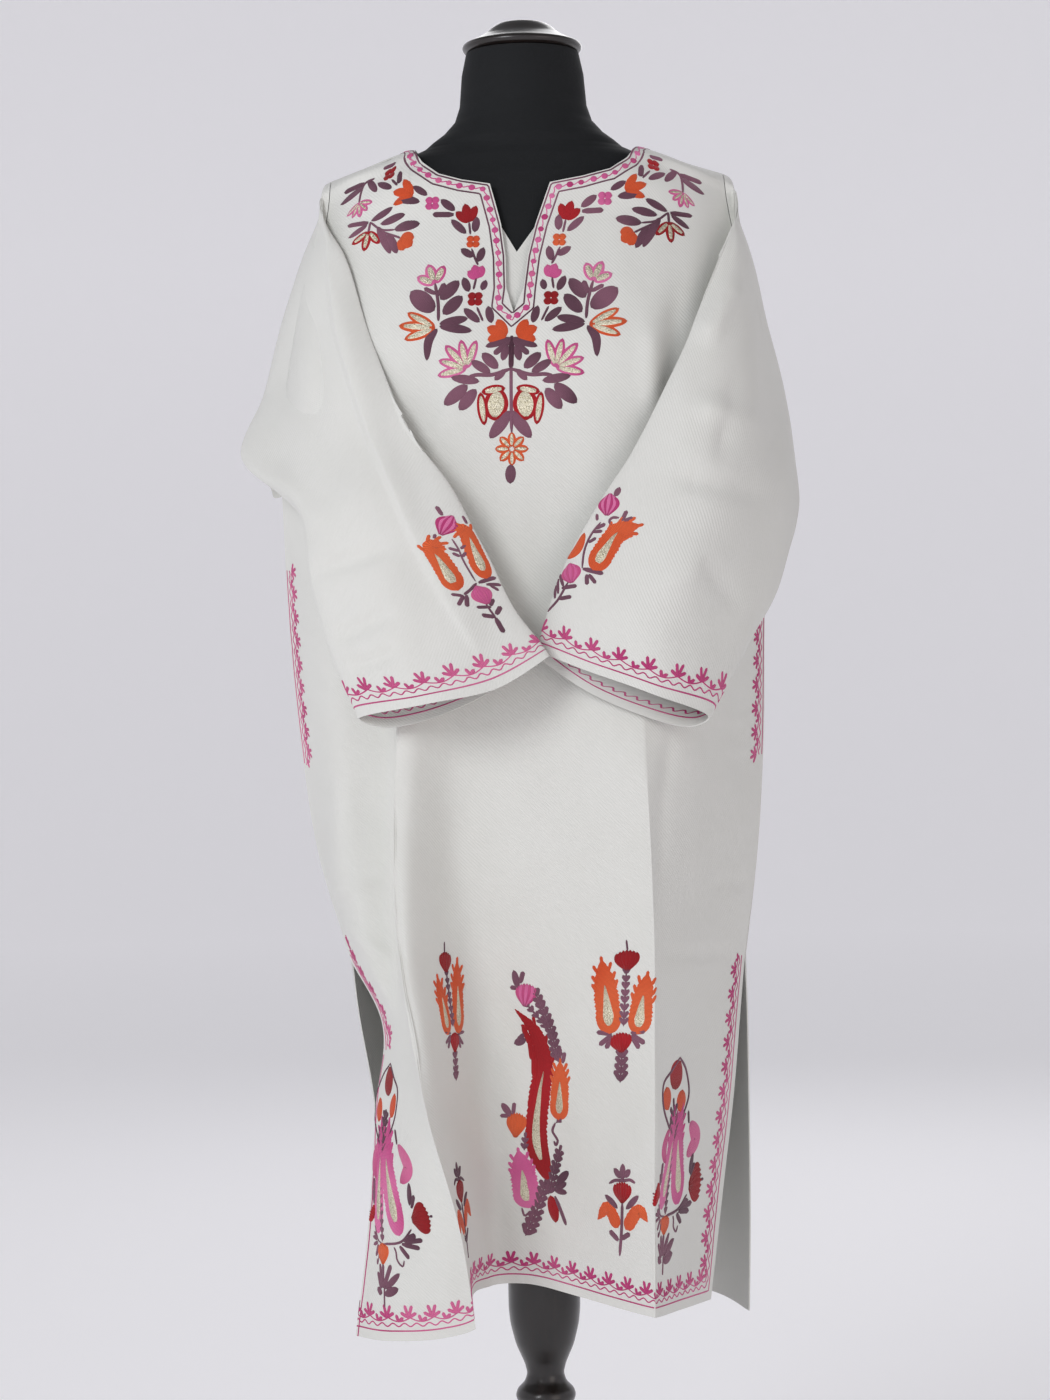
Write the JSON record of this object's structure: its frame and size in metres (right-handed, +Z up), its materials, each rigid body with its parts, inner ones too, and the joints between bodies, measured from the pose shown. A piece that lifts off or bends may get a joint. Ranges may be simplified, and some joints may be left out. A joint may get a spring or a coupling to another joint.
{
  "type": "pheran on dress form",
  "caption": "Ivory embroidered pheran with a slit neckline and side slits, sleeves folded forward, worn on a black limbless dress form on a turned wooden stand.",
  "frame": {"origin": "middle of the underside of the base, on the floor", "axes": "+X to the right of a viewer who faces the front of the garment, -Y out of the front, +Z up"},
  "size_m": [0.5314, 0.3946, 1.5508],
  "materials": {
    "wool_cloth": "matte fine twill",
    "jersey_cover": "matte jersey",
    "lacquered_wood": "black gloss lacquer"
  },
  "bodies": {
    "root": {"front": "wool_cloth", "back": "wool_cloth", "sleeve_left": "wool_cloth", "sleeve_right": "wool_cloth", "slit_insert": "wool_cloth", "form_torso": "jersey_cover", "neck_cap": "lacquered_wood", "pole": "lacquered_wood", "base": "lacquered_wood"}
  },
  "joints": []
}
